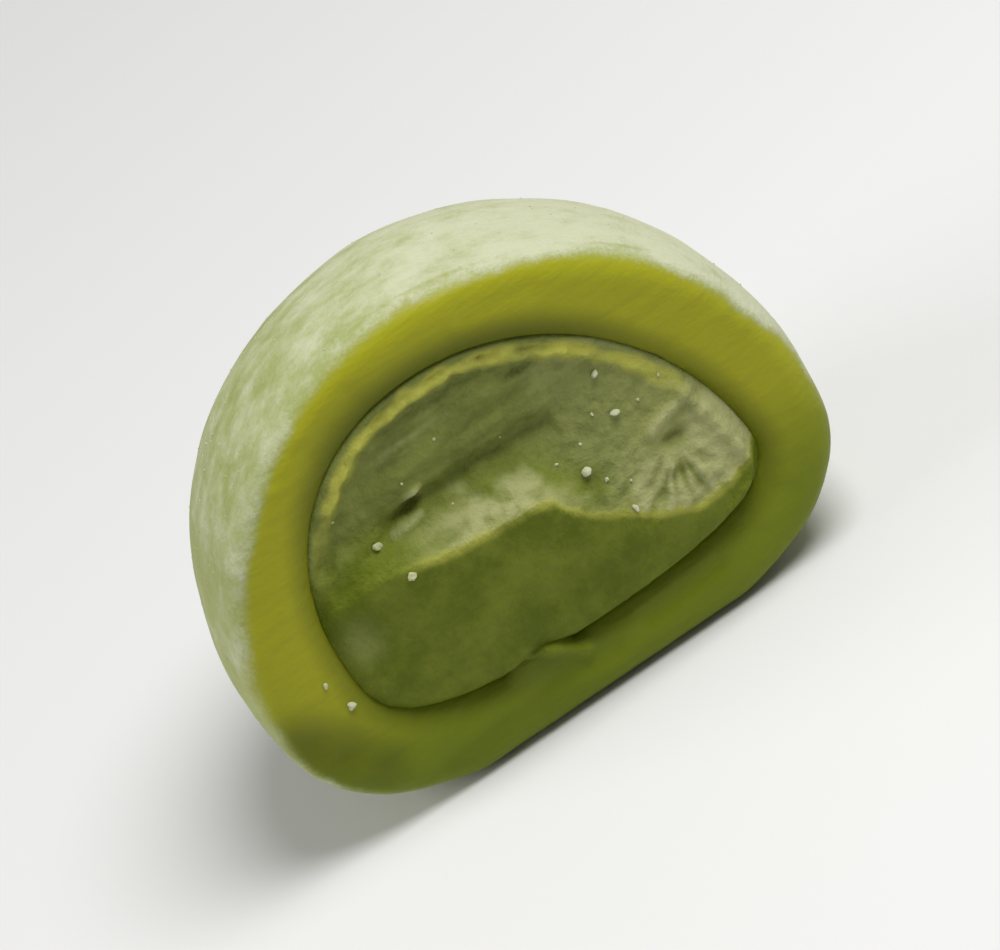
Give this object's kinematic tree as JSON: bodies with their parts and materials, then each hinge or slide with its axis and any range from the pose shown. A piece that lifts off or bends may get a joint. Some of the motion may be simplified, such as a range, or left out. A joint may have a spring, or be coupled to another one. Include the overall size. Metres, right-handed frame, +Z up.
{
  "type": "mochi rice cake",
  "caption": "Cut piece of a filled mochi rice cake: a soft domed rice skin round a smooth paste, flat underneath, with the knife's cut showing both.",
  "frame": {"origin": "under the middle of the piece's bounding box, on the surface it stands on", "axes": "+Z up, -Y out of the cut face, +X to the right as one looks at the cut face"},
  "size_m": [0.0426, 0.0274, 0.0331],
  "materials": {
    "rice_skin": "soft rice dough coloured with green tea, dusted white with starch outside, satin and olive green where it is cut",
    "tea_paste": "dense moist green tea paste, dark olive green, with a faint sheen where the knife dragged it"
  },
  "bodies": {
    "root": {"rice_skin": "rice_skin", "tea_paste": "tea_paste"}
  },
  "joints": []
}
